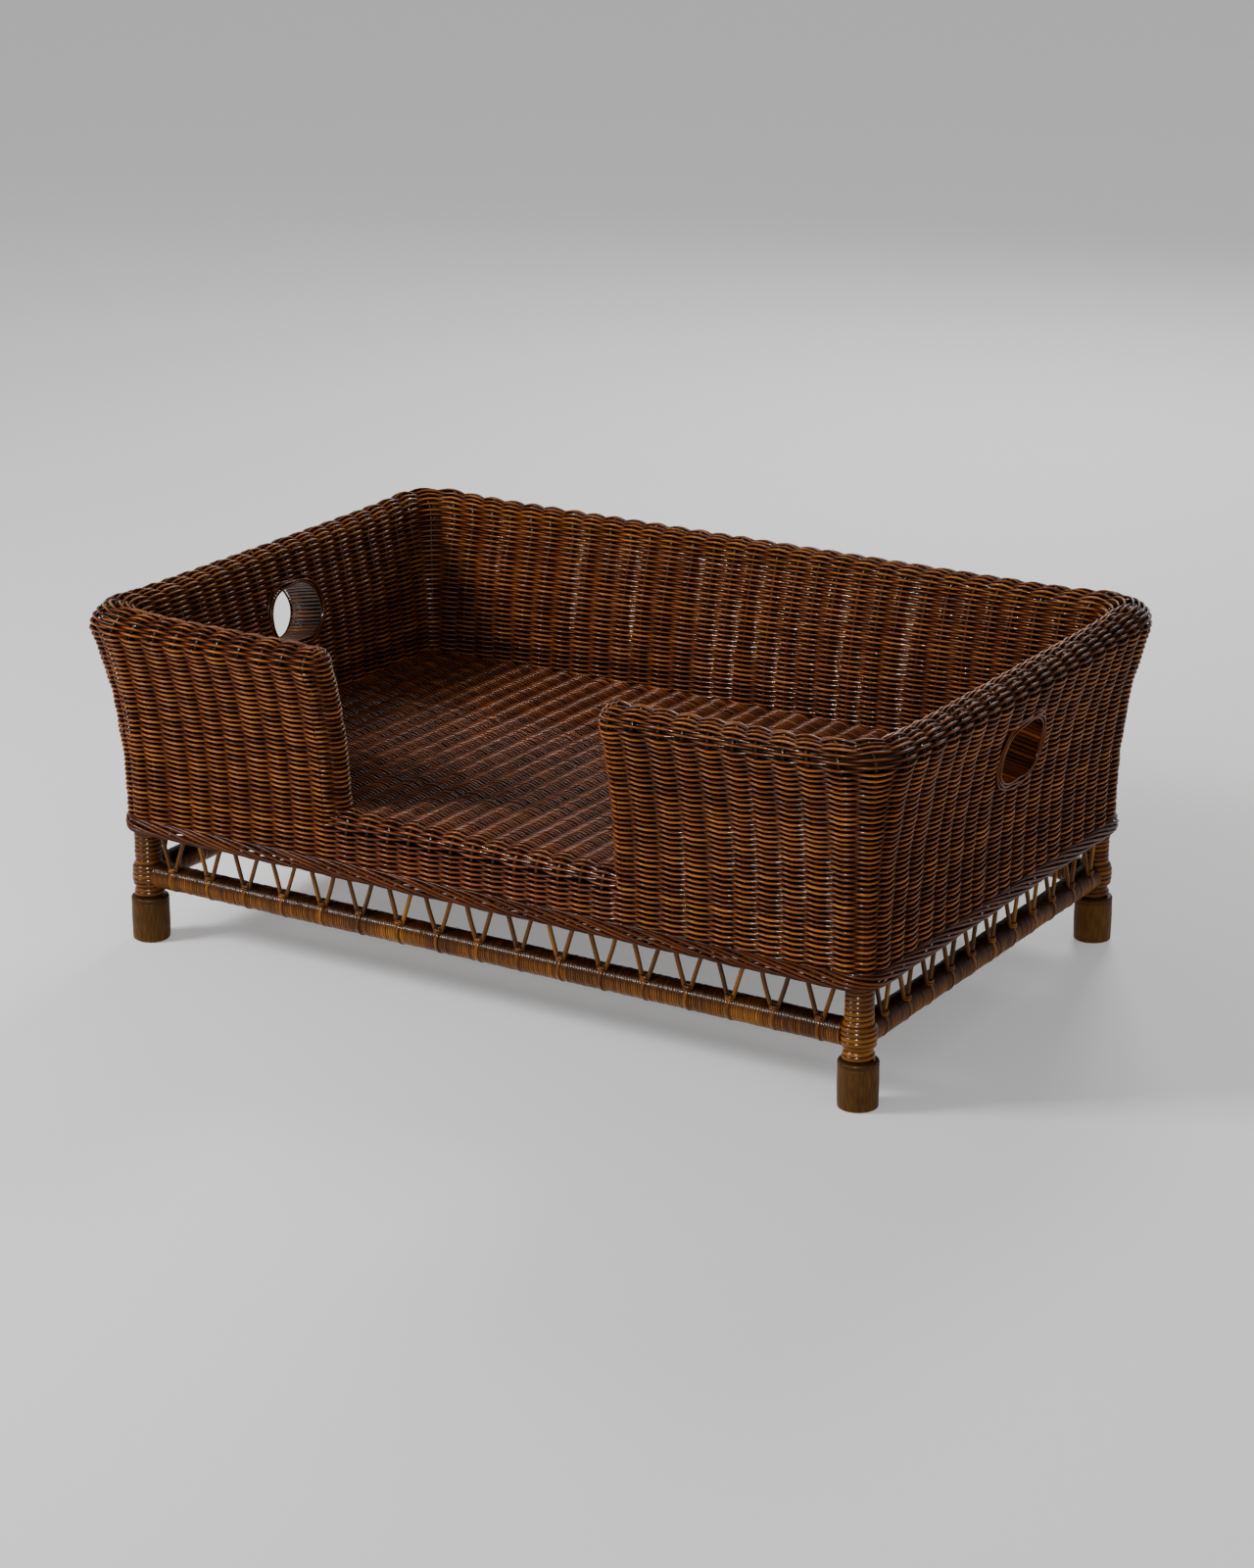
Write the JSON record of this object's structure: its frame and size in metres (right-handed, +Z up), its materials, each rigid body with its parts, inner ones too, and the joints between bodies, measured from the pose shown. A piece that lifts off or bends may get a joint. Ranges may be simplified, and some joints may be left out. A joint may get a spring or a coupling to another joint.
{
  "type": "wicker pet bed basket",
  "caption": "Raised oblong pet bed of double-walled woven rattan with a low front entry, a hand-hole in each end and wrapped legs, rails and V struts.",
  "frame": {"origin": "centre of the footprint on the floor, midway between the four feet", "axes": "+X along the length, -Y towards the entry in the front wall, +Z up"},
  "size_m": [0.9, 0.6, 0.35],
  "materials": {
    "outer_weave": "dark stained rattan core, lacquered, gloss",
    "inner_weave": "dark stained rattan core, lacquered, gloss",
    "rattan_peel": "golden brown rattan peel, lacquered, gloss",
    "rattan_rod": "stained rattan rod, lacquered, satin",
    "rattan_pole": "plain rattan pole, satin",
    "foot_wood": "stained turned wood, satin"
  },
  "bodies": {
    "root": {"foot_front_left": "foot_wood", "foot_front_right": "foot_wood", "foot_back_left": "foot_wood", "foot_back_right": "foot_wood", "leg_front_left": "rattan_pole", "leg_front_right": "rattan_pole", "leg_back_left": "rattan_pole", "leg_back_right": "rattan_pole", "leg_wrap_front_left": "rattan_peel", "leg_wrap_front_right": "rattan_peel", "leg_wrap_back_left": "rattan_peel", "leg_wrap_back_right": "rattan_peel", "rail_front": "rattan_pole", "rail_back": "rattan_pole", "rail_left": "rattan_pole", "rail_right": "rattan_pole", "rail_wrap_front": "rattan_peel", "rail_wrap_back": "rattan_peel", "rail_wrap_left": "rattan_peel", "rail_wrap_right": "rattan_peel", "struts_front": "rattan_rod", "struts_back": "rattan_rod", "struts_left": "rattan_rod", "struts_right": "rattan_rod", "lashings_front": "rattan_peel", "lashings_back": "rattan_peel", "lashings_left": "rattan_peel", "lashings_right": "rattan_peel", "outer_weave_front_left": "outer_weave", "outer_weave_front_right": "outer_weave", "outer_weave_left": "outer_weave", "outer_weave_right": "outer_weave", "outer_weave_back_left": "outer_weave", "outer_weave_back_right": "outer_weave", "inner_weave_front_left": "inner_weave", "inner_weave_front_right": "inner_weave", "inner_weave_left": "inner_weave", "inner_weave_right": "inner_weave", "inner_weave_back_left": "inner_weave", "inner_weave_back_right": "inner_weave", "rim_front_left": "outer_weave", "rim_front_right": "outer_weave", "rim_left": "outer_weave", "rim_right": "outer_weave", "rim_back_left": "outer_weave", "rim_back_right": "outer_weave", "rope_border": "outer_weave", "entry_sill": "inner_weave", "entry_end_left": "outer_weave", "entry_end_right": "outer_weave", "entry_posts": "rattan_pole", "bed_floor": "inner_weave", "floor_bars": "rattan_pole", "floor_frame": "rattan_pole", "base_frame": "rattan_pole", "rim_pole": "rattan_pole", "hand_hole_left": "rattan_peel", "hand_hole_right": "rattan_peel"}
  },
  "joints": []
}
